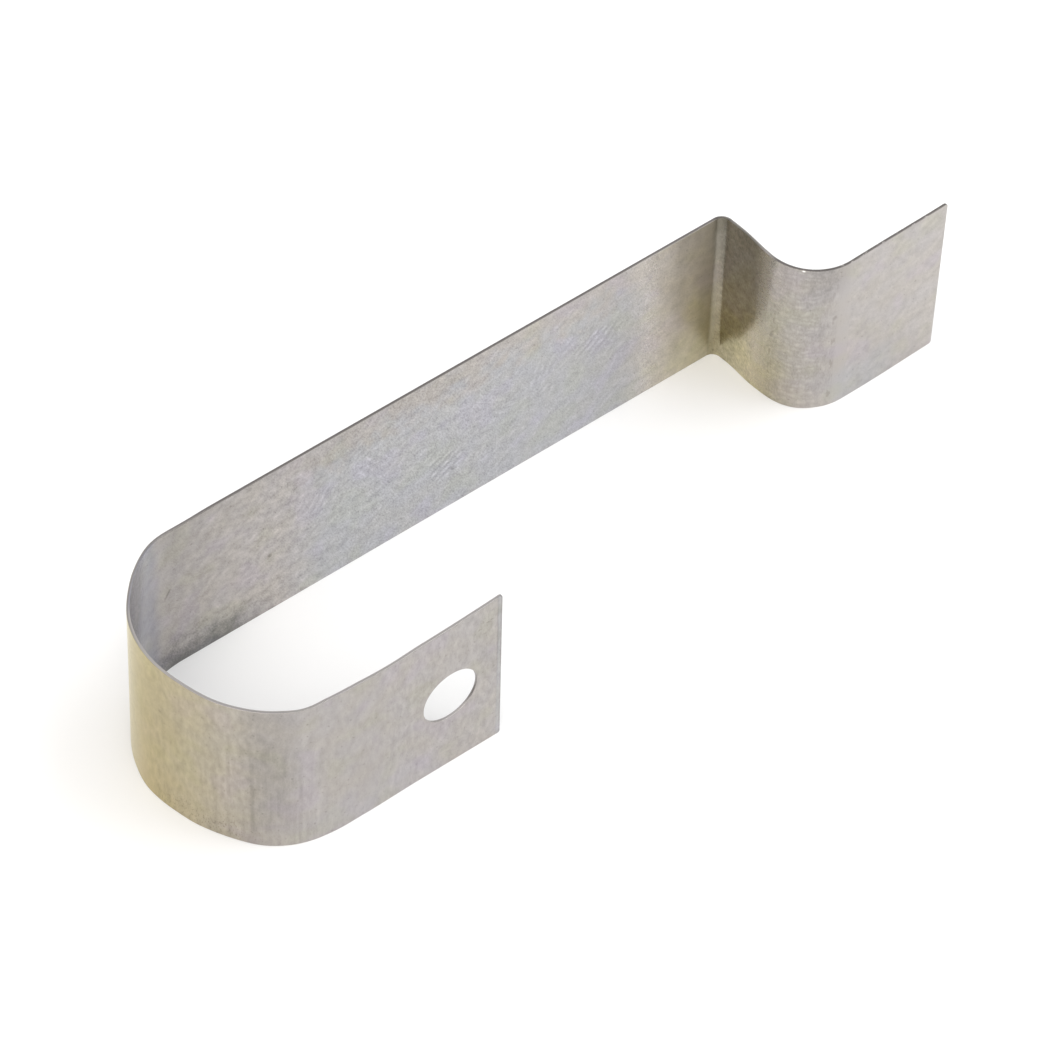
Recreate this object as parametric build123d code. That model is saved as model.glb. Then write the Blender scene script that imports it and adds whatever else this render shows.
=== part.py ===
from build123d import *
import os

# A flat spring folded from one strip of spring steel, in millimetres. The strip stands on its edge, so its
# width runs up along Z and every bend turns about a line parallel to Z. The origin is the middle of the
# fixing hole, X runs along both arms towards the crease, and Y runs from the short arm to the long one.

# The strip
STRIP_WIDTH = 12.7
STRIP_THICKNESS = 0.2
CORNER_RADIUS = 0.2  # broken corners at both cut ends

# The short arm and its fixing hole
SHORT_ARM_LENGTH = 9.45  # straight stretch, from the cut end
HOLE_RADIUS = 2.0
HOLE_FROM_END = 3.85  # cut end to the middle of the hole
HOLE_CUTTER_LENGTH = 2 * HOLE_RADIUS

# The return bend, in four stretches from the short arm to the long arm.
# Every radius is to the middle of the strip's thickness.
EASE_RADIUS = 36.0
EASE_ANGLE = 6.0
TIGHT_RADIUS = 5.3
TIGHT_ANGLE = 45.5
SLACK_RADIUS = 11.0
SLACK_ANGLE = 32.5
RETURN_ANGLE = 180.0  # the whole bend, which leaves the two arms parallel
WIDE_RADIUS = 7.2
WIDE_ANGLE = RETURN_ANGLE - EASE_ANGLE - TIGHT_ANGLE - SLACK_ANGLE

# The long arm and the catch at its end
LONG_ARM_LENGTH = 40.8
CREASE_RADIUS = 0.7
CREASE_ANGLE = 88.0
LEG_LENGTH = 3.65
TROUGH_RADIUS = 3.6
TROUGH_ANGLE = 89.0
LIP_LENGTH = 7.85  # to the upper corner of the cut end
LIP_CUT_ANGLE = 1.1  # the cut isn't square: the lower corner falls short


def strip_face(shift):
    """One side of the strip, seen from above, at this distance to the left of its middle line."""
    runs = []

    def straight(length):
        start, heading = end_of_run()
        runs.append(PolarLine(start, length, direction=heading))

    def bend(radius, angle):
        start, heading = end_of_run()
        side = 1 if angle > 0 else -1
        runs.append(JernArc(start, heading, radius - side * shift, angle))

    def end_of_run():
        if runs:
            return runs[-1] @ 1, runs[-1] % 1
        return Vector(HOLE_FROM_END, -shift), Vector(-1, 0)

    straight(SHORT_ARM_LENGTH)
    bend(EASE_RADIUS, -EASE_ANGLE)
    bend(TIGHT_RADIUS, -TIGHT_ANGLE)
    bend(SLACK_RADIUS, -SLACK_ANGLE)
    bend(WIDE_RADIUS, -WIDE_ANGLE)
    straight(LONG_ARM_LENGTH)
    bend(CREASE_RADIUS, -CREASE_ANGLE)
    straight(LEG_LENGTH)
    bend(TROUGH_RADIUS, TROUGH_ANGLE)
    straight(LIP_LENGTH)
    return runs


def strip_section():
    """The folded strip seen from above: its two sides, closed by the two cut ends."""
    outside = strip_face(-STRIP_THICKNESS / 2)
    inside = strip_face(STRIP_THICKNESS / 2)
    short_end = Line(outside[0] @ 0, inside[0] @ 0)
    lip_end = Line(outside[-1] @ 1, inside[-1] @ 1)
    return make_face(outside + inside + [short_end, lip_end])


def lip_cut():
    """The plane of the lip's cut end, through its upper corner and facing away from the metal."""
    end, heading = strip_face(0)[-1] @ 1, strip_face(0)[-1] % 1
    corner = Vector(end.X, end.Y, STRIP_WIDTH / 2)
    return Plane(corner, z_dir=heading.rotate(Axis(corner, heading.cross(Vector(0, 0, 1))), -LIP_CUT_ANGLE))


def fixing_hole():
    """The round hole through the short arm, with its axis along Y. Its cutter stops short of the long arm."""
    return Rot(90, 0, 0) * Cylinder(HOLE_RADIUS, HOLE_CUTTER_LENGTH)


def folded_spring():
    """The whole spring, with the corners of both cut ends rounded across the strip's thickness."""
    blank = extrude(strip_section(), amount=STRIP_WIDTH / 2, both=True)
    blank = split(blank, bisect_by=lip_cut(), keep=Keep.BOTTOM)
    lengthwise_ends = blank.edges().filter_by(GeomType.LINE).group_by(Edge.length)
    corners = lengthwise_ends[0]
    return fillet(corners, CORNER_RADIUS) - fixing_hole()


os.makedirs("parts", exist_ok=True)
export_step(folded_spring(), "parts/spring_strip.step")
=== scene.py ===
# Looks of the interlock spring: a strip of cold-rolled spring steel, folded and standing on its edge.
import math

import bmesh
import bpy
import numpy as np
from mathutils import Matrix, Vector


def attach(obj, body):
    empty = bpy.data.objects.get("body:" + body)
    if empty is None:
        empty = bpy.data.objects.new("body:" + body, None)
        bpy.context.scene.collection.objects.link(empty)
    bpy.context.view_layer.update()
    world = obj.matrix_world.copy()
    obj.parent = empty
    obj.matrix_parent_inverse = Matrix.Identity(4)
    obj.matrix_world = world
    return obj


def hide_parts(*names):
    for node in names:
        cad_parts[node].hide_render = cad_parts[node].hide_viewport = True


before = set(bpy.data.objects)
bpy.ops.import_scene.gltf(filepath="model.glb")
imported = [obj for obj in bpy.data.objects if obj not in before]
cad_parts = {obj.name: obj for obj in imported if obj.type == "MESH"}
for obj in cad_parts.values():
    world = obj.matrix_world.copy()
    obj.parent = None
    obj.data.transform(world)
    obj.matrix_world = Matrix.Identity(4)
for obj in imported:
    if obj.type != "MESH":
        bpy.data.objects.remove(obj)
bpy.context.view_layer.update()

MM = 0.001  # metres in a millimetre

# The strip's path, with the part's own sizes. Angles are in degrees, and radii are to the middle of the
# strip's thickness.
STRIP_WIDTH = 12.7 * MM
STRIP_THICKNESS = 0.2 * MM
CORNER_RADIUS = 0.2 * MM
SHORT_ARM_LENGTH = 9.45 * MM
HOLE_RADIUS = 2.0 * MM
HOLE_FROM_END = 3.85 * MM
EASE_RADIUS = 36.0 * MM
EASE_ANGLE = 6.0
TIGHT_RADIUS = 5.3 * MM
TIGHT_ANGLE = 45.5
SLACK_RADIUS = 11.0 * MM
SLACK_ANGLE = 32.5
RETURN_ANGLE = 180.0  # the whole return bend
WIDE_RADIUS = 7.2 * MM
WIDE_ANGLE = RETURN_ANGLE - EASE_ANGLE - TIGHT_ANGLE - SLACK_ANGLE
LONG_ARM_LENGTH = 40.8 * MM
CREASE_RADIUS = 0.7 * MM
CREASE_ANGLE = 88.0
LEG_LENGTH = 3.65 * MM
TROUGH_RADIUS = 3.6 * MM
TROUGH_ANGLE = 89.0
LIP_LENGTH = 7.85 * MM  # to the upper corner of the cut end

# How the real strip departs from that shape
SHORT_END_LEAN = 0.25 * MM  # upper corner of the short arm's end, towards the long arm
LIP_END_LEAN = 0.09 * MM  # upper corner of the lip's end, away from the short arm
LIP_CUT_ANGLE = 1.1  # the cut ends aren't square: their lower corners fall short
SHORT_CUT_ANGLE = 0.36
# Each kink, in millimetres: its place along the strip, its reach to each side, and how far it pushes the
# lower and the upper edge outward
KINKS = (
    (8.5, 2.6, 0.0, 0.06),
    (10.3, 4.4, 0.055, 0.0),
    (12.4, 2.2, 0.085, 0.01),
    (14.3, 1.6, 0.03, 0.09),
    (19.3, 3.0, -0.05, 0.1),
    (22.3, 1.5, -0.04, 0.0),
    (25.2, 1.7, 0.05, 0.0),
    (29.8, 2.4, 0.0, -0.08),
    (33.5, 2.05, 0.0, 0.108),
    (36.0, 2.1, 0.0, -0.046),
    (78.6, 1.5, 0.065, 0.0),
    (79.0, 1.9, 0.0, 0.065),
    (81.7, 1.3, 0.06, 0.0),
    (83.9, 1.4, -0.045, 0.0),
    (89.0, 6.5, -0.08, 0.06),
)

# The slit edges, rolled over on the outside of the folds and nearly square on the inside
EDGE_INSET = 0.035 * MM
EDGE_ROLL = 0.045 * MM
EDGE_BURR = 0.02 * MM
EDGE_STEPS = 4

# How finely the mesh is divided
STRAIGHT_STEP = 0.3 * MM
BEND_STEP = math.radians(3)
CORNER_STEPS = 5
PATCH_HALF = 2.8 * MM  # half the square around the hole that is filled with rings
PATCH_STEPS = 24
MARGIN_STEPS = 14  # from that square to each long edge
RING_STEPS = 10
SUPPORT = 0.03 * MM  # a row this close to each edge keeps the flat shading flat
HAIR = 1e-12  # metres, to catch a point that rounding puts just past a join
SLIVER = 1e-6  # share of a step that is too little for one more step


def stretches():
    """Length and turn of each stretch, from the short arm to the lip. A turn to the right is negative."""
    right = -1
    left = 1

    def straight(length):
        return length, 0.0

    def bend(radius, angle, side):
        return radius * math.radians(angle), side * math.radians(angle)

    return [
        straight(SHORT_ARM_LENGTH),
        bend(EASE_RADIUS, EASE_ANGLE, right),
        bend(TIGHT_RADIUS, TIGHT_ANGLE, right),
        bend(SLACK_RADIUS, SLACK_ANGLE, right),
        bend(WIDE_RADIUS, WIDE_ANGLE, right),
        straight(LONG_ARM_LENGTH),
        bend(CREASE_RADIUS, CREASE_ANGLE, right),
        straight(LEG_LENGTH),
        bend(TROUGH_RADIUS, TROUGH_ANGLE, left),
        straight(LIP_LENGTH),
    ]


STRETCHES = stretches()
JOINS = np.concatenate([[0.0], np.cumsum([length for length, _ in STRETCHES])])
STRIP_LENGTH = JOINS[-1]


def walk(start, heading, stretch, distance):
    """Where these distances along a stretch lead, and the headings there."""
    length, turn = stretch
    headings = heading + turn * distance / length
    if turn == 0:
        step = np.stack([distance * math.cos(heading), distance * math.sin(heading)], -1)
        return start + step, headings
    radius = length / turn
    step = np.stack([np.sin(headings) - math.sin(heading), math.cos(heading) - np.cos(headings)], -1)
    return start + radius * step, headings


def middle_line(along):
    """Points and headings of the strip's middle line at these distances from the short arm's end."""
    points = np.zeros((len(along), 2))
    headings = np.zeros(len(along))
    start = np.array([HOLE_FROM_END, 0.0])
    heading = math.pi
    for stretch, low, high in zip(STRETCHES, JOINS[:-1], JOINS[1:]):
        here = (along >= low - HAIR) & (along <= high + HAIR)
        points[here], headings[here] = walk(start, heading, stretch, along[here] - low)
        start, heading = walk(start, heading, stretch, high - low)
    return points, headings


def unevenness(along, across):
    """How far the real strip strays outward and forward from the even one at these places."""
    up = across / STRIP_WIDTH + 0.5  # 0 at the lower edge and 1 at the upper one
    short = np.clip(1 - along / SHORT_ARM_LENGTH, 0, 1)
    lip = np.clip(1 - (STRIP_LENGTH - along) / LIP_LENGTH, 0, 1)
    outward = up * (LIP_END_LEAN * lip**2 - SHORT_END_LEAN * short**2)
    for middle, reach, lower, upper in KINKS:
        away = np.clip(abs(along / MM - middle) / reach, 0, 1)
        outward += np.cos(away * math.pi / 2) ** 2 * (lower + (upper - lower) * up) * MM
    short_cut = short * (0.5 - up) * math.tan(math.radians(SHORT_CUT_ANGLE))
    lip_cut = lip * (1 - up) * math.tan(math.radians(LIP_CUT_ANGLE))
    return outward, STRIP_WIDTH * (short_cut - lip_cut)


def place(along, across, depth):
    """Points of the real, slightly uneven strip. Depth is 1 outside the folds and -1 inside them."""
    points, headings = middle_line(along)
    outward = np.stack([-np.sin(headings), np.cos(headings)], 1)
    forward = np.stack([np.cos(headings), np.sin(headings)], 1)
    lean, slant = unevenness(along, across)
    flat = points + outward * (depth * STRIP_THICKNESS / 2 + lean)[:, None] + forward * slant[:, None]
    return np.column_stack([flat, across])


def subdivided(breaks, step_at):
    """These break points with evenly spaced points between them, as close as step_at asks."""
    filled = [breaks[0]]
    for low, high in zip(breaks[:-1], breaks[1:]):
        count = max(1, math.ceil((high - low) / step_at((low + high) / 2) - SLIVER))
        filled.extend(np.linspace(low, high, count + 1)[1:])
    return np.array(filled)


def corner_sweep():
    """Angles round an end corner, from the end's line to the long edge."""
    return np.linspace(0, math.pi / 2, CORNER_STEPS + 1)


def rows_along():
    """Distances from the short arm's end of the mesh's rows, and half the blank's width at each."""
    radius = CORNER_RADIUS - EDGE_INSET
    sweep = corner_sweep()
    start = EDGE_INSET + radius * (1 - np.cos(sweep))
    end = STRIP_LENGTH - start[::-1]
    patch = [HOLE_FROM_END - PATCH_HALF, HOLE_FROM_END + PATCH_HALF]

    def step_at(distance):
        if abs(distance - HOLE_FROM_END) < PATCH_HALF:
            return 2 * PATCH_HALF / PATCH_STEPS
        length, turn = STRETCHES[int(np.searchsorted(JOINS, distance)) - 1]
        return min(STRAIGHT_STEP, abs(length / turn) * BEND_STEP) if turn else STRAIGHT_STEP

    inner = subdivided([start[-1], *patch, *JOINS[1:-1], end[0]], step_at)
    rows = np.concatenate([start[:-1], inner, end[1:]])
    half = np.full(len(rows), STRIP_WIDTH / 2 - EDGE_INSET)
    drop = radius * (1 - np.sin(sweep))
    half[:len(sweep)] -= drop
    half[-len(sweep):] -= drop[::-1]
    return rows, half


def columns_across():
    """Shares of the half width at which the mesh has its columns, from -1 to 1."""
    half = STRIP_WIDTH / 2 - EDGE_INSET
    square = PATCH_HALF / half
    margin = np.linspace(square, 1, MARGIN_STEPS + 1)
    margin = np.concatenate([margin[:-1], [1 - SUPPORT / half, 1.0]])
    middle = np.linspace(-square, square, PATCH_STEPS + 1)
    return np.concatenate([-margin[::-1], middle[1:-1], margin])


def border(index):
    """The point numbers round the outside of a grid, in order."""
    return np.concatenate([index[:-1, 0], index[-1, :-1], index[:0:-1, -1], index[0, :0:-1]])


def faces_between(ring, other):
    """Faces that join two closed rings of as many points."""
    return list(zip(ring, np.roll(ring, -1), np.roll(other, -1), other))


def hole_rings(grid, square):
    """Rings from a square of the grid to the hole: points, faces, and the hole's rim with its ways out."""
    middle = np.array([HOLE_FROM_END, 0.0])
    outer = grid[square] - middle
    spoke = outer / np.linalg.norm(outer, axis=1)[:, None]
    rim_radius = HOLE_RADIUS + EDGE_INSET
    shares = np.linspace(0, 1, RING_STEPS + 1)[1:]
    shares = np.concatenate([shares[:-1], [1 - SUPPORT / (PATCH_HALF - rim_radius), 1.0]])
    points = []
    faces = []
    ring = square
    used = len(grid)
    for share in shares:
        points.append(middle + outer * (1 - share) + spoke * rim_radius * share)
        new = np.arange(used, used + len(square))
        used += len(square)
        faces += faces_between(ring, new)
        ring = new
    return np.vstack(points), faces, ring, -spoke


def ways_out(index):
    """The direction that leads out of the metal at each point of the blank's outline."""
    row_count, column_count = index.shape
    sweep = corner_sweep()
    lean = np.zeros(row_count)
    lean[:len(sweep)] = -np.cos(sweep)
    lean[-len(sweep):] = np.cos(sweep)[::-1]
    away = {}
    for row in range(row_count):
        for column, side in ((0, -1), (column_count - 1, 1)):
            away[index[row, column]] = (lean[row], side * math.sqrt(1 - lean[row] ** 2))
    for column in range(1, column_count - 1):
        away[index[0, column]] = (-1.0, 0.0)
        away[index[-1, column]] = (1.0, 0.0)
    return np.array([away[point] for point in border(index)])


def blank_sheet():
    """One side of the flat blank: points (along, across), faces, and its two rims with their ways out."""
    rows, half = rows_along()
    columns = columns_across()
    row_count = len(rows)
    column_count = len(columns)
    along = np.repeat(rows[:, None], column_count, 1)
    grid = np.stack([along, half[:, None] * columns], -1).reshape(-1, 2)
    index = np.arange(row_count * column_count).reshape(row_count, column_count)
    first_row = int(np.argmin(abs(rows - (HOLE_FROM_END - PATCH_HALF))))
    first_column = int(np.argmin(abs(columns * half[first_row] + PATCH_HALF)))
    patch_rows = range(first_row, first_row + PATCH_STEPS)
    patch_columns = range(first_column, first_column + PATCH_STEPS)
    faces = [
        (index[row, column], index[row + 1, column], index[row + 1, column + 1], index[row, column + 1])
        for row in range(row_count - 1)
        for column in range(column_count - 1)
        if row not in patch_rows or column not in patch_columns
    ]
    patch = index[first_row:first_row + PATCH_STEPS + 1, first_column:first_column + PATCH_STEPS + 1]
    square = border(patch)
    ring_points, ring_faces, hole_rim, hole_ways = hole_rings(grid, square)
    rims = [(border(index), ways_out(index)), (hole_rim, hole_ways)]
    return np.vstack([grid, ring_points]), faces + ring_faces, rims


def edge_profile():
    """Steps over a slit edge from outside to inside: how far out of the sheet, and the depth from 1 to -1."""
    half = STRIP_THICKNESS / 2
    bend = np.linspace(0, math.pi / 2, EDGE_STEPS + 1)
    out = EDGE_INSET * np.sin(bend)
    roll = 1 - EDGE_ROLL / half * (1 - np.cos(bend))
    burr = 1 - EDGE_BURR / half * (1 - np.cos(bend))
    steps = list(zip(out, roll)) + list(zip(out[::-1], -burr[::-1]))
    return steps[1:-1]


def closed_blank():
    """The flat blank as a closed skin: points (along, across, depth) and faces, with no point left over."""
    sheet, sheet_faces, rims = blank_sheet()
    count = len(sheet)
    flat = [np.column_stack([sheet, np.ones(count)]), np.column_stack([sheet, -np.ones(count)])]
    used = 2 * count
    faces = sheet_faces + [tuple(point + count for point in reversed(face)) for face in sheet_faces]
    for rim, away in rims:
        ring = rim
        for out, depth in edge_profile():
            flat.append(np.column_stack([sheet[rim] + away * out, np.full(len(rim), depth)]))
            new = np.arange(used, used + len(rim))
            used += len(rim)
            faces += faces_between(ring, new)
            ring = new
        faces += faces_between(ring, rim + count)
    flat = np.vstack(flat)
    faces = np.array(faces)
    kept = np.zeros(len(flat), bool)
    kept[np.unique(faces)] = True
    renumber = np.cumsum(kept) - 1
    return flat[kept], renumber[faces]


def spring_mesh(name):
    """The whole spring as one closed mesh, which keeps each point's place on the strip in millimetres."""
    flat, faces = closed_blank()
    solid = place(flat[:, 0], flat[:, 1], flat[:, 2])
    mesh = bpy.data.meshes.new(name)
    mesh.from_pydata(solid.tolist(), [], faces.tolist())
    spot = mesh.attributes.new("strip_place", "FLOAT_VECTOR", "POINT")
    spot.data.foreach_set("vector", (flat / [MM, MM, 1]).astype(np.float32).ravel())
    work = bmesh.new()
    work.from_mesh(mesh)
    bmesh.ops.recalc_face_normals(work, faces=work.faces)
    work.to_mesh(mesh)
    work.free()
    mesh.polygons.foreach_set("use_smooth", [True] * len(mesh.polygons))
    mesh.update()
    return mesh


class Nodes:
    """Shader nodes of one material, made and linked in one call each."""

    # Numbers of a Mix node's sockets for each kind of value: factor, first, second and result
    MIX_SOCKETS = {"VECTOR": (0, 4, 5, 1), "RGBA": (0, 6, 7, 2)}

    def __init__(self, material):
        self.tree = material.node_tree
        self.shader = self.tree.nodes["Principled BSDF"]

    def feed(self, socket, value):
        """Links another node's output to the socket, or sets a plain value on it."""
        if isinstance(value, bpy.types.NodeSocket):
            self.tree.links.new(value, socket)
        else:
            socket.default_value = value

    def add(self, kind, inputs, output=0, **settings):
        node = self.tree.nodes.new(kind)
        for name, value in settings.items():
            setattr(node, name, value)
        for key, value in inputs.items():
            self.feed(node.inputs[key], value)
        return node.outputs[output]

    def calculate(self, operation, *values):
        return self.add("ShaderNodeMath", dict(enumerate(values)), operation=operation)

    def plus(self, *values):
        total = values[0]
        for value in values[1:]:
            total = self.calculate("ADD", total, value)
        return total

    def minus(self, first, second):
        return self.calculate("SUBTRACT", first, second)

    def times(self, *values):
        product = values[0]
        for value in values[1:]:
            product = self.calculate("MULTIPLY", product, value)
        return product

    def larger(self, first, second):
        return self.calculate("MAXIMUM", first, second)

    def ramp(self, value, low, high, at_low=0.0, at_high=1.0):
        """Smooth change from at_low to at_high while the value goes from low to high."""
        inputs = {"Value": value, "From Min": low, "From Max": high, "To Min": at_low, "To Max": at_high}
        return self.add("ShaderNodeMapRange", inputs, interpolation_type="SMOOTHSTEP")

    def band(self, value, low, high, soft):
        """1 between low and high, fading to 0 over the soft distance outside each."""
        return self.times(self.ramp(value, low - soft, low), self.ramp(value, high, high + soft, 1.0, 0.0))

    def parts(self, vector):
        """The three numbers that a vector is made of."""
        node = self.tree.nodes.new("ShaderNodeSeparateXYZ")
        self.feed(node.inputs[0], vector)
        return tuple(node.outputs)

    def stretched(self, vector, stretch):
        return self.add("ShaderNodeMapping", {"Vector": vector, "Scale": stretch})

    def turned(self, vector, degrees):
        inputs = {"Vector": vector, "Rotation": (0.0, 0.0, math.radians(degrees))}
        return self.add("ShaderNodeMapping", inputs)

    def drawn_out(self, vector, reach, degrees):
        """Makes marks this many times as long in one direction, at this angle from the strip's length."""
        stretch = (math.sqrt(reach), 1 / math.sqrt(reach), 1.0)
        inputs = {"Vector": vector, "Scale": stretch, "Rotation": (0.0, 0.0, math.radians(degrees))}
        return self.add("ShaderNodeMapping", inputs, vector_type="TEXTURE")

    def noise(self, vector, scale, detail, roughness):
        """Soft noise from 0 to 1."""
        inputs = {"Vector": vector, "Scale": scale, "Detail": detail, "Roughness": roughness}
        return self.add("ShaderNodeTexNoise", inputs, noise_dimensions="3D")

    def swing(self, vector, scale, detail, roughness):
        """Noise that swings to both sides of 0."""
        return self.minus(self.noise(vector, scale, detail, roughness), 0.5)

    def mix(self, factor, first, second, kind="RGBA", blend="MIX"):
        """The first value where the factor is 0, and the second, or their product, where it is 1."""
        node = self.tree.nodes.new("ShaderNodeMix")
        node.data_type = kind
        node.blend_type = blend
        *inputs, result = self.MIX_SOCKETS[kind]
        for number, value in zip(inputs, (factor, first, second)):
            self.feed(node.inputs[number], value)
        return node.outputs[result]

    def tint(self, factor, colour, over):
        """The colour multiplied into the one below by the factor."""
        return self.mix(factor, over, colour, blend="MULTIPLY")


# The finish. A place along the strip counts from the short arm's end and one across it from the middle, in
# millimetres. A zone is from, to and how soft its ends are. A rise or a fade is the two places, or levels of
# a noise, at which its strength is 0 and 1, or the two places and then the strength at each.

# Noises: scale in marks to a millimetre, detail and roughness
SPECKLE_NOISE = (6.5, 2.0, 0.6)
BLOTCH_NOISE = (2.0, 1.0, 0.4)
CLOUD_NOISE = (0.9, 3.0, 0.6)
WAVER_NOISE = (0.7, 2.0, 0.5)
DRIFT_NOISE = (0.3, 2.0, 0.5)
MOTTLE_NOISE = (0.6, 0.0, 0.5)
CHATTER_NOISE = (0.5, 2.0, 0.6)
STREAK_NOISE = (1.0, 3.0, 0.6)
FLECK_NOISE = (4.5, 1.0, 0.5)
SMUDGE_NOISE = (1.0, 2.0, 0.6)
SCALE_AND_SHADE_NOISE = (1.0, 2.0, 0.6)
GLOSS_NOISE = (3.0, 3.0, 0.6)
PITTING_NOISE = (5.0, 4.0, 0.6)

# How the noises are stretched along and across the strip, and from one side of it to the other
SIDES_APART = (1.0, 1.0, 20.0)
STREAK_STRETCH = (3.0, 0.15, 1.0)
SMUDGE_STRETCH = (1.6, 3.2, 1.0)
SCALE_AND_SHADE_STRETCH = (2.2, 0.3, 0.02)
GRAIN_REACH = 1.9  # the grain is this many times as long as it is wide
UPRIGHT = 90.0  # its direction, in degrees from the strip's length
LEANING = -63.0
COMBED_ZONE = (81.5, 86.0, 1.0)  # inside the trough, where it stands upright too

# The strip's sides and slit edges, told apart by the depth, which is 1 outside the folds and -1 inside
OUTSIDE_RISE = (-0.5, 0.5)
EDGE_RISE = (0.98, 0.8)
BROKEN_MIDDLE = 0.6  # middle strength of the marks that blotches break up
BROKEN_SWING = 3.0


class Strip:
    """Where a point lies on the strip, as sockets in millimetres, and the noises that several marks share."""

    def __init__(self, nodes):
        self.nodes = nodes
        position = nodes.add("ShaderNodeAttribute", {}, output=1, attribute_name="strip_place")
        self.along, self.across, depth = nodes.parts(position)
        self.outside = nodes.ramp(depth, *OUTSIDE_RISE)
        self.inside = nodes.minus(1.0, self.outside)
        self.sides = {"outside": self.outside, "inside": self.inside}
        self.edge = nodes.ramp(nodes.calculate("ABSOLUTE", depth), *EDGE_RISE)
        self.face = nodes.minus(1.0, self.edge)

        # A place that differs on the two sides, so that no mark shows through the metal
        self.skin = nodes.stretched(position, SIDES_APART)
        upright = nodes.drawn_out(self.skin, GRAIN_REACH, UPRIGHT)
        leaning = nodes.drawn_out(self.skin, GRAIN_REACH, LEANING)
        combed = nodes.larger(self.outside, nodes.band(self.along, *COMBED_ZONE))
        self.weave = nodes.mix(combed, leaning, upright, "VECTOR")
        patchy = nodes.mix(combed, self.skin, upright, "VECTOR")
        self.waver = nodes.swing(self.skin, *WAVER_NOISE)
        self.speckle = nodes.swing(self.weave, *SPECKLE_NOISE)
        self.blotch = nodes.swing(patchy, *BLOTCH_NOISE)
        self.cloud = nodes.swing(patchy, *CLOUD_NOISE)
        self.broken = nodes.plus(BROKEN_MIDDLE, nodes.times(self.blotch, BROKEN_SWING))

    def zone(self, low, high, soft):
        """A stretch along the strip, with soft ends."""
        return self.nodes.band(self.along, low, high, soft)

    def spot(self, along, across, reach_along, reach_across):
        """A soft round spot."""
        here = self.nodes.band(self.along, along, along, reach_along)
        return self.nodes.times(here, self.nodes.band(self.across, across, across, reach_across))


# How strongly the finest grain, the blotches and the clouds show
GRAIN = 0.28
BLOTCHES = 0.29
CLOUDS = 0.32
GRAIN_ZONES = (  # side, from and to along the strip, how soft its ends are, how much more grain and blotches
    ("inside", 33.0, 38.0, 3.0, 0.15, -0.05),
    ("inside", 38.0, 44.0, 4.0, 0.0, 0.28),
    ("inside", 43.0, 71.0, 5.0, 0.44, 0.05),
    ("inside", 50.0, 58.0, 5.0, 0.27, 0.12),
    ("inside", 77.6, 80.8, 0.8, 0.8, 0.4),
    ("inside", 82.0, 86.0, 1.5, 0.12, 0.08),
    ("outside", 0.0, 7.5, 2.0, 0.08, 0.14),
    ("outside", 10.0, 16.0, 2.0, -0.04, -0.04),
    ("outside", 18.0, 24.0, 2.0, -0.04, 0.18),
)
CLOUDY_ZONE = (38.0, 47.0, 5.0)
MORE_CLOUDS = 0.15


def grain(nodes, strip):
    """Grain, blotches and clouds, which show more where the strip was ground or rubbed."""
    fine = GRAIN
    coarse = BLOTCHES
    for side, low, high, soft, more_fine, more_coarse in GRAIN_ZONES:
        here = nodes.times(strip.sides[side], strip.zone(low, high, soft))
        fine = nodes.plus(fine, nodes.times(here, more_fine))
        coarse = nodes.plus(coarse, nodes.times(here, more_coarse))
    cloudy = nodes.plus(CLOUDS, nodes.times(strip.inside, strip.zone(*CLOUDY_ZONE), MORE_CLOUDS))
    return nodes.plus(
        nodes.times(strip.cloud, cloudy),
        nodes.times(strip.speckle, fine),
        nodes.times(strip.blotch, coarse),
    )


GROUND_ZONE = (43.0, 71.0, 5.0)
CHATTER_PITCH = 0.55
CHATTER_TURN = 35  # degrees from the strip's length towards its upper edge
CHATTER_SPREAD = (0.5, 0.7, 0.0, 0.45)  # the marks outside the spots below come and go with a noise
CHATTER_SPOT_RISE = (0.05, 0.55)
CHATTER_WAVER = 6.0
CHATTER_DEPTH = 0.2
CHATTER_SPOTS = (  # place along and across, reach along and across, turn, and how strong
    (55.7, -2.1, 2.0, 1.7, 28, 1.2),
    (59.9, 0.3, 1.5, 1.5, -23, 0.6),
    (67.3, 1.4, 2.9, 1.5, 42, 0.85),
    (46.5, 1.3, 2.0, 1.5, 50, 0.5),
    (50.0, 2.0, 1.8, 1.4, -49, 0.6),
    (63.0, 1.0, 1.6, 1.5, 70, 0.5),
)


def chatter(nodes, strip):
    """Chatter marks of the grinding wheel, in loose patches on the inside of the long arm."""
    def lines(turn):
        """Light and dark lines, this many degrees from the strip's length."""
        crosswise = nodes.parts(nodes.turned(strip.skin, -turn))[1]
        phase = nodes.times(crosswise, 2 * math.pi / CHATTER_PITCH)
        return nodes.calculate("SINE", nodes.plus(phase, nodes.times(strip.waver, CHATTER_WAVER)))

    spread = nodes.ramp(nodes.noise(strip.skin, *CHATTER_NOISE), *CHATTER_SPREAD)
    marks = nodes.times(lines(CHATTER_TURN), spread)
    for along, across, reach_along, reach_across, turn, strength in CHATTER_SPOTS:
        patch = nodes.ramp(strip.spot(along, across, reach_along, reach_across), *CHATTER_SPOT_RISE)
        marks = nodes.plus(marks, nodes.times(patch, lines(turn), strength))
    return nodes.times(marks, strip.inside, strip.zone(*GROUND_ZONE), strip.broken, CHATTER_DEPTH)


RIPPLE_ZONE = (82.4, 84.3, 1.3)
RIPPLE_PITCH = 0.49
RIPPLE_WAVER = 18.0
RIPPLE_DEPTH = 0.065


def ripples(nodes, strip):
    """Painted light and shade of the ripples raised on the inside of the trough."""
    phase = nodes.plus(
        nodes.times(strip.across, 2 * math.pi / RIPPLE_PITCH),
        nodes.times(strip.waver, RIPPLE_WAVER),
    )
    return nodes.times(
        nodes.calculate("SINE", phase), strip.inside, strip.zone(*RIPPLE_ZONE), strip.broken, RIPPLE_DEPTH
    )


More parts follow.
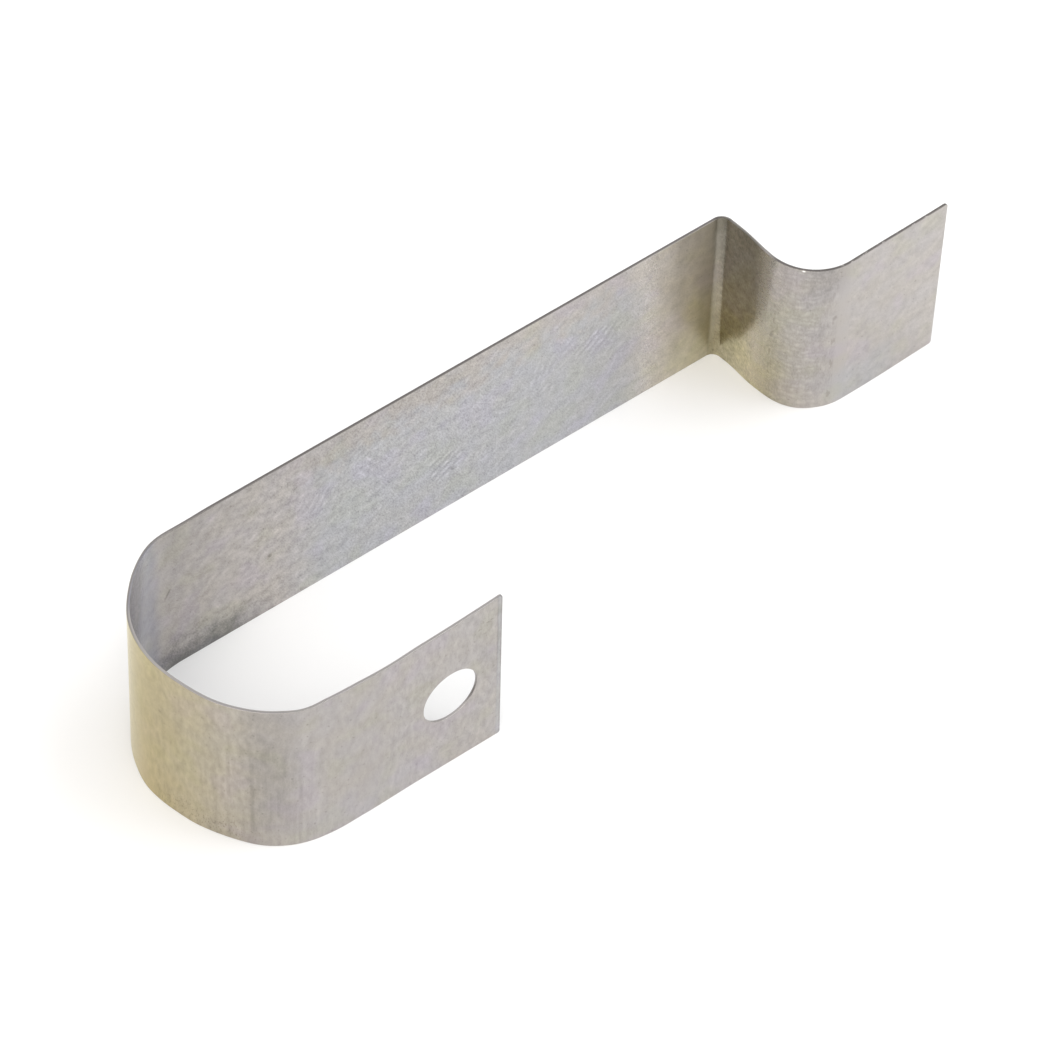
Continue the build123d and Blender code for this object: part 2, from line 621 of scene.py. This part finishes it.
TOOL_LINES = (14.55, 17.35, 18.8, 19.65)  # across the return bend, from the short arm's end
TOOL_LINE_HALF = 0.05
TOOL_LINE_SOFT = 0.14
TOOL_LINE_PATCHES = (-0.15, 0.1, 0.0, 0.15)
STREAK_ZONE = (13.5, 23.0, 2.5)
STREAK_DEPTH = 0.4
LOWER_BEND_RISE = (4.0, -2.0, 0.1, 1.0)


def bend_marks(nodes, strip):
    """Dark lines and streaks that the bending tool left across the return bend, mostly on its lower half."""
    lower = nodes.ramp(strip.across, *LOWER_BEND_RISE)
    streaks = nodes.swing(nodes.stretched(strip.skin, STREAK_STRETCH), *STREAK_NOISE)
    marks = nodes.times(streaks, strip.outside, strip.zone(*STREAK_ZONE), lower, STREAK_DEPTH)
    patchy = nodes.ramp(strip.cloud, *TOOL_LINE_PATCHES)
    for line in TOOL_LINES:
        mark = strip.zone(line - TOOL_LINE_HALF, line + TOOL_LINE_HALF, TOOL_LINE_SOFT)
        marks = nodes.minus(marks, nodes.times(mark, lower, strip.outside, patchy))
    return marks


# Broad changes of tone, where the strip was handled, sheared or rubbed, and painted light and shade
WHOLE_WIDTH = (-7.0, 7.0)  # past both edges
TONES = (  # side, from and to along the strip, softness, two places across it, and how much lighter at each
    # painted light, here and in the next row: the outside is lighter towards its lower edge
    ("outside", 0.0, 95.0, 1.0, 3.5, -5.5, 0.0, 0.035),
    ("outside", 0.0, 9.5, 2.0, -2.0, -5.5, 0.0, 0.04),
    ("outside", 15.7, 17.2, 1.3, 5.0, 1.0, -0.12, -0.165),
    ("outside", 15.7, 17.2, 1.3, -3.5, -5.8, 0.0, 0.0825),
    # painted light: the bend is lighter towards its lower edge
    ("outside", 20.0, 24.5, 4.0, 3.5, -5.5, 0.0, 0.1),
    ("outside", 21.5, 24.8, 2.0, *WHOLE_WIDTH, 0.055, 0.055),
    # partly rubbed, partly painted shade: darker on the return bend's far part
    ("outside", 27.9, 29.0, 3.0, 5.5, -5.5, -0.23, -0.16),
    # painted shade in the hollow inside the return bend
    ("inside", 33.8, 36.5, 3.0, 5.5, 3.0, -0.028, -0.07),
    ("inside", 47.0, 56.0, 4.0, 3.0, 4.8, 0.0, -0.065),
    ("inside", 63.0, 71.0, 3.0, *WHOLE_WIDTH, 0.022, 0.022),
    ("inside", 82.6, 85.0, 1.2, *WHOLE_WIDTH, -0.1, -0.1),
)
TONE_SPOTS = (  # side, place along and across, reach along and across, and how much lighter
    ("outside", 0.8, 1.4, 2.0, 4.5, -0.045),
    ("outside", 15.5, -6.4, 3.0, 2.2, 0.12),
    ("inside", 74.0, -6.4, 2.0, 3.0, 0.13),
    # painted highlight near the crease's top
    ("inside", 75.9, 6.0, 1.0, 4.5, 0.22),
    # painted shade on the leg's top, with its painted reflection
    ("inside", 79.2, 6.4, 1.6, 2.2, -0.2),
    ("inside", 84.5, -6.4, 4.0, 2.5, 0.1),
    ("inside", 85.4, 5.8, 2.3, 3.0, -0.19),
)
TOP_EDGE_SHADE = 0.09  # on the upper slit edge, up to the return bend
TOP_EDGE_RISE = (5.5, 6.0)
TOP_EDGE_FADE = (24.0, 20.0)
SHEAR_LINE = (0.3, 0.36, 0.08)
SHEAR_LINE_RISE = (-3.0, 2.0, 0.2, 1.0)
SHEARED_CORNER = (0.03, 0.07, 0.06)
SHEAR_DEPTH = 0.15


def tones(nodes, strip):
    """Broad changes of tone, some painted light and shade, and the dark lines beside the short arm's sheared
    end.
    """
    tone = 0.0
    for side, low, high, soft, near, far, lift_near, lift_far in TONES:
        lift = nodes.ramp(strip.across, near, far, lift_near, lift_far)
        tone = nodes.plus(tone, nodes.times(strip.sides[side], strip.zone(low, high, soft), lift))
    for side, along, across, reach_along, reach_across, lift in TONE_SPOTS:
        spot = strip.spot(along, across, reach_along, reach_across)
        tone = nodes.plus(tone, nodes.times(spot, strip.sides[side], lift))
    top_edge = nodes.times(
        strip.edge,
        nodes.ramp(strip.across, *TOP_EDGE_RISE),
        nodes.ramp(strip.along, *TOP_EDGE_FADE),
        TOP_EDGE_SHADE,
    )
    tone = nodes.minus(tone, top_edge)
    line = nodes.times(strip.zone(*SHEAR_LINE), nodes.ramp(strip.across, *SHEAR_LINE_RISE))
    sheared = nodes.larger(line, strip.zone(*SHEARED_CORNER))
    return nodes.minus(tone, nodes.times(sheared, strip.outside, SHEAR_DEPTH))


# Colours of the steel, of what has marked it, and of painted light and shade. All are multiplied into the
# steel.
STEEL = (0.44, 0.412, 0.394, 1)
OUTER_FACE = (0.89, 0.89, 0.89, 1)  # the outside of the folds has been handled more
COOL = (0.965, 1.03, 1.11, 1)
LILAC = (1.007, 0.988, 1.035, 1)
GREEN_GREY = (0.985, 1.0, 0.96, 1)
WARM_MOTTLE = (1.005, 1.0, 0.98, 1)
COOL_MOTTLE = (0.995, 1.0, 1.02, 1)
BLUE_GREY = (0.965, 1.0, 1.035, 1)
PALE_FOOT = (1.0, 1.01, 1.06, 1)
# painted warm reflection, straw, outside the return bend and low on the leg
BEND_WARM_REFLECTION = (1.0, 0.955, 0.72, 1)
TINTED_COAT = (0.985, 0.95, 0.82, 1)  # a clear tinted coat that deepens the painted straw where it is seen at a slant
LEG_WARM_REFLECTION = (1.03, 1.0, 0.7, 1)
# painted reflection and shade on the leg, olive, and smoky towards its top
LEG_REFLECTION = (0.8, 0.77, 0.71, 1)
LEG_TOP_SHADE = (0.73, 0.75, 0.76, 1)
# painted shade in the crease, and painted highlights on both sides of it
CREASE_SHADE = (0.8, 0.8, 0.79, 1)
PAINTED_HIGHLIGHT = (1.19, 1.19, 1.19, 1)
# painted reflection of the shaded hollow inside the return bend, violet
VIOLET_REFLECTION_SHADE = (0.735, 0.77, 0.885, 1)
# painted shade along the lower edge inside the return bend
HOLLOW_SHADE_FRINGE = (0.48, 0.5, 0.52, 1)
DARK_FLECK = (0.62, 0.61, 0.6, 1)
# dark scale on the slit edges, partly a painted dark reflection
EDGE_SCALE_AND_SHADE = (0.47, 0.46, 0.46, 1)
EDGE_BRIGHT = (1.19, 1.2, 1.23, 1)
GLINT = (3.0, 3.0, 3.0, 1)

COOL_ZONE = (47.0, 68.5, 4.5)
COOL_FADE = (6.0, 2.5)  # towards the upper edge, along a wavering line
COOL_WAVER = 8.0
LILAC_RISE = (0.55, 0.65)  # in the drift's noise
GREEN_GREY_RISE = (0.45, 0.35)
MOTTLE_RISE = (0.25, 0.75)
END_MARGIN_RISE = (0.38, 0.3)  # towards the short arm's cut end
LIP_FOOT_ZONE = (87.0, 90.0, 1.8)
LIP_FOOT_RISE = (-2.5, -4.5)
ARM_FOOT_ZONE = (6.0, 12.0, 3.0)
ARM_FOOT_RISE = (-2.5, -5.0)


def hue_tints(nodes, strip):
    """Slow drift of hue: cool on the ground face, with lilac, green-grey and blue-grey patches."""
    height = nodes.plus(strip.across, nodes.times(strip.waver, COOL_WAVER))
    ground = nodes.times(strip.inside, strip.zone(*COOL_ZONE), nodes.ramp(height, *COOL_FADE))
    drift = nodes.noise(strip.skin, *DRIFT_NOISE)
    mottle = nodes.ramp(nodes.noise(strip.skin, *MOTTLE_NOISE), *MOTTLE_RISE)
    margin = nodes.times(strip.outside, nodes.ramp(strip.along, *END_MARGIN_RISE))
    by_lip = nodes.times(strip.zone(*LIP_FOOT_ZONE), nodes.ramp(strip.across, *LIP_FOOT_RISE))
    by_arm = nodes.times(strip.zone(*ARM_FOOT_ZONE), nodes.ramp(strip.across, *ARM_FOOT_RISE))
    lip_foot = nodes.times(strip.inside, by_lip)
    arm_foot = nodes.times(strip.outside, by_arm)
    return [
        (ground, COOL),
        (nodes.ramp(drift, *LILAC_RISE), LILAC),
        (nodes.ramp(drift, *GREEN_GREY_RISE), GREEN_GREY),
        (1.0, nodes.mix(mottle, WARM_MOTTLE, COOL_MOTTLE)),
        (nodes.larger(margin, lip_foot), BLUE_GREY),
        (arm_foot, PALE_FOOT),
    ]


BEND_WARMTH_RISE = (14.0, 27.0)
BEND_WARMTH_FADE = (36.0, 28.0)
LEG_WARMTH_RISE = (69.5, 78.5)
LEG_WARMTH_FADE = (81.0, 85.0, 1.0, 0.0)
LEG_WARM_REFLECTION_RISE = (2.0, -5.0, 0.35, 0.95)  # towards the lower edge, along a wavering line
LEG_WARM_REFLECTION_WAVER = 6.0
VIOLET_ZONE = (29.0, 33.2, 1.2)
VIOLET_PATCHES = (-0.2, 0.1, 0.7, 1.0)


def warm_bend_mask(nodes, strip):
    """Outside the return bend, where a warm straw reflection is painted, fading out along the hidden long
    arm.
    """
    rise = nodes.ramp(strip.along, *BEND_WARMTH_RISE)
    fade = nodes.ramp(strip.along, *BEND_WARMTH_FADE)
    return nodes.times(strip.outside, strip.face, rise, fade)


def bend_tints(nodes, strip, warm_bend):
    """Painted reflections: warm straw outside the return bend and low on the leg, shaded violet inside it."""
    height = nodes.plus(strip.across, nodes.times(strip.waver, LEG_WARM_REFLECTION_WAVER))
    lower = nodes.ramp(height, *LEG_WARM_REFLECTION_RISE)
    by_leg = nodes.times(nodes.ramp(strip.along, *LEG_WARMTH_RISE), nodes.ramp(strip.along, *LEG_WARMTH_FADE))
    patches = nodes.ramp(strip.waver, *VIOLET_PATCHES)
    return [
        (warm_bend, BEND_WARM_REFLECTION),
        (nodes.times(by_leg, lower, strip.face), LEG_WARM_REFLECTION),
        (nodes.times(strip.inside, strip.zone(*VIOLET_ZONE), patches), VIOLET_REFLECTION_SHADE),
    ]


LEG_REFLECTION_ZONE = (77.4, 80.0, 1.3)
LEG_REFLECTION_FROM = 77.25  # where the painted reflection's slanting lower border starts
LEG_REFLECTION_SLANT = 1.5
LEG_REFLECTION_RISE = (-6.5, -4.5)
LEG_TOP_SHADE_RISE = (-2.0, 4.5)
FOLD_ZONE = (76.65, 77.5, 0.15)
FOLD_RISE = (-4.5, 5.0, 0.1, 1.0)
FOLD_START_ZONE = (76.65, 77.05, 0.15)
FOLD_START_STRENGTH = 0.6
FOLD_TIP_ZONE = (76.6, 77.6, 0.3)
FOLD_TIP_RISE = (4.9, 5.8)
# painted highlights beside the crease: on the long arm and low on the leg
BRIGHT_ZONE = (71.5, 72.6, 2.2)
BRIGHT_LINE_ZONE = (74.6, 75.0, 1.2)
BRIGHT_LINE_STRENGTH = 0.65
BRIGHT_LEG_ZONE = (79.5, 80.5, 1.2)  # below the leg's painted reflection


def crease_tints(nodes, strip):
    """Olive and smoky painted reflection on the leg, painted crease shade, and painted highlights beside it.
    """
    slanting = nodes.minus(strip.across, nodes.times(nodes.minus(strip.along, LEG_REFLECTION_FROM), LEG_REFLECTION_SLANT))
    above = nodes.ramp(slanting, *LEG_REFLECTION_RISE)
    leg_reflection = nodes.times(strip.zone(*LEG_REFLECTION_ZONE), above, strip.inside)
    leg_top_shade = nodes.times(leg_reflection, nodes.ramp(strip.across, *LEG_TOP_SHADE_RISE))
    fold_start = nodes.times(strip.zone(*FOLD_START_ZONE), FOLD_START_STRENGTH)
    fold = nodes.times(strip.zone(*FOLD_ZONE), nodes.ramp(strip.across, *FOLD_RISE))
    fold = nodes.larger(fold, fold_start)
    tip = nodes.times(strip.zone(*FOLD_TIP_ZONE), nodes.ramp(strip.across, *FOLD_TIP_RISE))
    below = nodes.times(strip.zone(*BRIGHT_LEG_ZONE), nodes.minus(1.0, above))
    line = nodes.times(strip.zone(*BRIGHT_LINE_ZONE), BRIGHT_LINE_STRENGTH)
    bright = nodes.larger(strip.zone(*BRIGHT_ZONE), line)
    return [
        (leg_reflection, LEG_REFLECTION),
        (leg_top_shade, LEG_TOP_SHADE),
        (nodes.times(fold, strip.inside), CREASE_SHADE),
        (nodes.times(tip, strip.inside), CREASE_SHADE),
        (nodes.times(nodes.larger(bright, below), strip.inside), PAINTED_HIGHLIGHT),
    ]


HOLLOW_SHADE_ZONE = (34.0, 38.0, 5.5)
HOLLOW_SHADE_RISE = (-3.4, -6.6)  # towards the lower edge, along a ragged line
HOLLOW_SHADE_CLOUDS = 3.0
HOLLOW_SHADE_SPECKLE = 2.0


def hollow_shade_tints(nodes, strip):
    """Painted shade along the lower edge inside the return bend, with a ragged border."""
    ragged = nodes.plus(nodes.times(strip.cloud, HOLLOW_SHADE_CLOUDS), nodes.times(strip.speckle, HOLLOW_SHADE_SPECKLE))
    low = nodes.ramp(nodes.plus(strip.across, ragged), *HOLLOW_SHADE_RISE)
    return [(nodes.times(low, strip.inside, strip.zone(*HOLLOW_SHADE_ZONE)), HOLLOW_SHADE_FRINGE)]


NICKS = (  # place along and across, half length, half width and lean of the dark nicks inside
    (34.7, 0.75, 0.6, 0.17, 0.55),
    (42.3, -1.2, 0.3, 0.25, 0.0),
    (56.2, -2.9, 0.3, 0.25, 0.0),
)
PUNCH_LINES = (81.95, 85.9)  # dotted lines across the trough
PUNCH_LINE_HALF = 0.08
PUNCH_LINE_SOFT = 0.16
PUNCH_LINE_SPAN = (-5.5, 2.0, 1.5)  # across the strip, as a zone
PUNCH_DOT_RISE = (0.0, 0.12)
PUNCH_STRENGTH = 0.6
FLECK_RISE = (0.67, 0.76)
FLECK_STRENGTH = 0.6
SPECK_ZONE = (18.5, 23.5, 1.5)
SPECK_RISE = (0.05, 0.15)
SPECK_LOWER_RISE = (-3.0, -5.5)
SMUDGE_SPOT = (1.2, 4.6, 1.8, 2.0)  # place along and across, reach along and across
SMUDGE_RISE = (0.58, 0.68)
SMUDGE_STRENGTH = 0.7
PIT_SPOT = (23.6, 2.35, 0.25, 0.28)
PIT_STRENGTH = 0.8


def nick(nodes, strip, along, across, half_length, half_width, lean):
    leaning = nodes.minus(strip.along, nodes.times(nodes.minus(strip.across, across), lean))
    length = nodes.band(strip.across, across, across, half_length)
    return nodes.times(nodes.band(leaning, along, along, half_width), length, strip.inside)


def punch_line(nodes, strip, line):
    dots = strip.zone(line - PUNCH_LINE_HALF, line + PUNCH_LINE_HALF, PUNCH_LINE_SOFT)
    dots = nodes.times(dots, nodes.ramp(strip.blotch, *PUNCH_DOT_RISE))
    return nodes.times(dots, strip.inside, nodes.band(strip.across, *PUNCH_LINE_SPAN), PUNCH_STRENGTH)


def fleck_tints(nodes, strip):
    """Small dark marks: flecks all over, specks low on the bend, a smudge, a pit, nicks and punch lines."""
    flecks = nodes.ramp(nodes.noise(strip.skin, *FLECK_NOISE), *FLECK_RISE)
    flecks = nodes.times(flecks, FLECK_STRENGTH)
    specks = nodes.times(nodes.ramp(strip.speckle, *SPECK_RISE), nodes.ramp(strip.across, *SPECK_LOWER_RISE))
    smudge = nodes.noise(nodes.stretched(strip.skin, SMUDGE_STRETCH), *SMUDGE_NOISE)
    smudge = nodes.times(nodes.ramp(smudge, *SMUDGE_RISE), strip.spot(*SMUDGE_SPOT))
    marks = [
        nodes.times(specks, strip.outside, strip.zone(*SPECK_ZONE)),
        nodes.times(smudge, strip.outside, SMUDGE_STRENGTH),
        nodes.times(strip.spot(*PIT_SPOT), strip.outside, PIT_STRENGTH),
    ]
    marks += [nick(nodes, strip, *sizes) for sizes in NICKS]
    marks += [punch_line(nodes, strip, line) for line in PUNCH_LINES]
    for mark in marks:
        flecks = nodes.larger(flecks, mark)
    return [(flecks, DARK_FLECK)]


SCALE_AND_SHADE_RISE = (28.0, 40.0)
END_SCALE_AND_SHADE_RISE = (0.12, 0.08, 0.0, 0.8)  # on the short arm's cut end
UNEVEN_SCALE_AND_SHADE_RISE = (0.31, 0.48)
EVEN_SCALE_AND_SHADE_FADE = (86.0, 84.0)  # the scale and painted shade are uneven on the lip alone
PALE_EDGE_ZONE = (77.4, 81.0, 1.0)
PALE_EDGE_STRENGTH = 0.8
BRIGHT_EDGE_START = (6.0, 12.0, 0.7, 0.5)
BRIGHT_EDGE_LOWER_RISE = (0.0, -3.0)
BRIGHT_EDGE_FADE = (31.0, 27.0)
GLINT_SPOT = (83.7, 6.28, 0.16, 0.1)


def edge_tints(nodes, strip):
    """Slit edges: bright round the return bend, dark with scale and painted shade from the long arm on."""
    uneven = nodes.noise(nodes.stretched(strip.skin, SCALE_AND_SHADE_STRETCH), *SCALE_AND_SHADE_NOISE)
    uneven = nodes.ramp(uneven, *UNEVEN_SCALE_AND_SHADE_RISE)
    uneven = nodes.larger(uneven, nodes.ramp(strip.along, *EVEN_SCALE_AND_SHADE_FADE))
    scale = nodes.larger(nodes.ramp(strip.along, *SCALE_AND_SHADE_RISE), nodes.ramp(strip.along, *END_SCALE_AND_SHADE_RISE))
    pale = nodes.times(strip.zone(*PALE_EDGE_ZONE), PALE_EDGE_STRENGTH)
    # scale here is dark scale and painted dark reflection together
    scale = nodes.times(strip.edge, scale, uneven, nodes.minus(1.0, pale))
    start = nodes.ramp(strip.along, *BRIGHT_EDGE_START)
    bright = nodes.larger(start, nodes.ramp(strip.across, *BRIGHT_EDGE_LOWER_RISE))
    bright = nodes.times(bright, strip.edge, nodes.ramp(strip.along, *BRIGHT_EDGE_FADE))
    glint = nodes.times(strip.spot(*GLINT_SPOT), strip.inside)
    return [(scale, EDGE_SCALE_AND_SHADE), (bright, EDGE_BRIGHT), (glint, GLINT)]


ROUGHNESS = (0.3, 0.7, 0.15, 0.25)  # levels of the gloss's noise, and the roughness at each
SATIN_RISE = (69.5, 73.5)
SATIN_FADE = (77.3, 76.8)
ROUGHER_BY_CREASE = 0.15
SATIN_TROUGH_ZONE = (80.8, 82.5, 0.8)
ROUGHER_BY_TROUGH = 0.07
ROUGHER_EDGE = 0.2


def gloss(nodes, strip):
    """How rough the steel is: satin by the crease and the trough, and duller on the slit edges."""
    roughness = nodes.ramp(nodes.noise(strip.skin, *GLOSS_NOISE), *ROUGHNESS)
    satin = nodes.times(nodes.ramp(strip.along, *SATIN_RISE), nodes.ramp(strip.along, *SATIN_FADE))
    return nodes.plus(
        roughness,
        nodes.times(satin, ROUGHER_BY_CREASE),
        nodes.times(strip.zone(*SATIN_TROUGH_ZONE), ROUGHER_BY_TROUGH),
        nodes.times(strip.edge, ROUGHER_EDGE),
    )


PITTING_STRENGTH = 0.3
PITTING_DEPTH = 0.02 * MM
FILM_IOR = 1.08
FILM_ROUGHNESS = 0.2


def spring_steel():
    """The strip's finish, from the bare steel to its marks, tints and gloss."""
    material = bpy.data.materials.new("spring_steel")
    material.use_nodes = True
    nodes = Nodes(material)
    strip = Strip(nodes)
    warm_bend = warm_bend_mask(nodes, strip)
    shade = 1.0
    for part in (grain, chatter, ripples, bend_marks, tones):
        shade = nodes.plus(shade, part(nodes, strip))
    grey = nodes.add("ShaderNodeCombineXYZ", {0: shade, 1: shade, 2: shade})
    tints = [(1.0, STEEL), (strip.outside, OUTER_FACE)]
    tints += hue_tints(nodes, strip)
    tints += bend_tints(nodes, strip, warm_bend)
    for layers in (crease_tints, hollow_shade_tints, fleck_tints, edge_tints):
        tints += layers(nodes, strip)
    colour = grey
    for factor, tint in tints:
        colour = nodes.tint(factor, tint, colour)

    pitting = nodes.noise(strip.weave, *PITTING_NOISE)
    relief = {"Strength": PITTING_STRENGTH, "Distance": PITTING_DEPTH, "Height": pitting}
    sockets = nodes.shader.inputs
    sockets["Metallic"].default_value = 1.0
    sockets["Coat Tint"].default_value = TINTED_COAT
    sockets["Coat IOR"].default_value = FILM_IOR
    sockets["Coat Roughness"].default_value = FILM_ROUGHNESS
    nodes.feed(sockets["Coat Weight"], warm_bend)
    nodes.feed(sockets["Base Color"], colour)
    nodes.feed(sockets["Roughness"], gloss(nodes, strip))
    nodes.feed(sockets["Normal"], nodes.add("ShaderNodeBump", relief))
    return material


def make_spring():
    spring = bpy.data.objects.new("strip_skin", spring_mesh("strip_skin"))
    bpy.context.scene.collection.objects.link(spring)
    spring.data.materials.append(spring_steel())
    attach(spring, "root")
    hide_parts("spring_strip")


# The photograph's camera, found from the spring's outline. Angles are in degrees.
VIEW_TARGET = Vector((11.577, 7.608, 0.0)) * MM
VIEW_DISTANCE = 370.8 * MM
VIEW_AZIMUTH = -39.826
VIEW_ELEVATION = 50.274
VIEW_ROLL = 2.254
VIEW_LENS = 210.91
SENSOR_WIDTH = 36.0
CLIP_NEAR = 0.01
CLIP_FAR = 20.0


def towards(azimuth, elevation):
    """The direction from the spring to what stands at these angles. Azimuth 0 faces the short arm."""
    azimuth = math.radians(azimuth)
    elevation = math.radians(elevation)
    return Vector((
        math.sin(azimuth) * math.cos(elevation),
        -math.cos(azimuth) * math.cos(elevation),
        math.sin(elevation),
    ))


def make_camera():
    azimuth = math.radians(VIEW_AZIMUTH)
    roll = math.radians(VIEW_ROLL)
    back = towards(VIEW_AZIMUTH, VIEW_ELEVATION)
    level = Vector((math.cos(azimuth), math.sin(azimuth), 0.0))
    above = back.cross(level)
    right = level * math.cos(roll) + above * math.sin(roll)
    up = above * math.cos(roll) - level * math.sin(roll)
    camera = bpy.data.objects.new("camera", bpy.data.cameras.new("camera"))
    camera.data.lens = VIEW_LENS
    camera.data.sensor_width = SENSOR_WIDTH
    camera.data.clip_start = CLIP_NEAR
    camera.data.clip_end = CLIP_FAR
    turn = Matrix((right, up, back)).transposed().to_4x4()
    camera.matrix_world = Matrix.Translation(VIEW_TARGET + back * VIEW_DISTANCE) @ turn
    bpy.context.scene.collection.objects.link(camera)
    bpy.context.scene.camera = camera


FLOOR_HALF = 4.0
FLOOR_COLOUR = (0.93, 0.93, 0.93, 1)
FLOOR_ROUGHNESS = 0.9


def make_floor():
    """A plain pale floor, level with the spring's lower edge."""
    level = -STRIP_WIDTH / 2
    corners = [
        (-FLOOR_HALF, -FLOOR_HALF, level),
        (FLOOR_HALF, -FLOOR_HALF, level),
        (FLOOR_HALF, FLOOR_HALF, level),
        (-FLOOR_HALF, FLOOR_HALF, level),
    ]
    mesh = bpy.data.meshes.new("floor")
    mesh.from_pydata(corners, [], [(0, 1, 2, 3)])
    floor = bpy.data.objects.new("floor", mesh)
    bpy.context.scene.collection.objects.link(floor)
    material = bpy.data.materials.new("floor")
    material.use_nodes = True
    shader = material.node_tree.nodes["Principled BSDF"]
    shader.inputs["Base Color"].default_value = FLOOR_COLOUR
    shader.inputs["Roughness"].default_value = FLOOR_ROUGHNESS
    shader.inputs["Specular IOR Level"].default_value = 0.0
    mesh.materials.append(material)


WORLD_COLOUR = (1.0, 1.0, 1.0, 1)
WORLD_STRENGTH = 0.87
LAMP_TARGET = Vector((12.0, 8.0, 0.0)) * MM
LAMP_DISTANCE = 0.8
LAMP_SIZE = 0.5
LAMPS = (  # name, azimuth and elevation in degrees, watts and colour
    ("left", -60.0, 55.0, 2.5, (1.0, 0.965, 0.92)),
    ("right", 60.0, 55.0, 2.0, (0.95, 0.98, 1.0)),
)


def make_light():
    """An even white world and two large soft lamps."""
    world = bpy.data.worlds.new("studio")
    world.use_nodes = True
    world.node_tree.nodes["Background"].inputs["Color"].default_value = WORLD_COLOUR
    world.node_tree.nodes["Background"].inputs["Strength"].default_value = WORLD_STRENGTH
    bpy.context.scene.world = world
    for name, azimuth, elevation, power, colour in LAMPS:
        direction = towards(azimuth, elevation)
        light = bpy.data.objects.new(name, bpy.data.lights.new(name, "AREA"))
        light.data.shape = "SQUARE"
        light.data.size = LAMP_SIZE
        light.data.energy = power
        light.data.color = colour
        light.location = LAMP_TARGET + direction * LAMP_DISTANCE
        light.rotation_euler = direction.to_track_quat("Z", "Y").to_euler()
        bpy.context.scene.collection.objects.link(light)


make_spring()
make_camera()
make_floor()
make_light()
bpy.context.scene.view_settings.view_transform = "Standard"
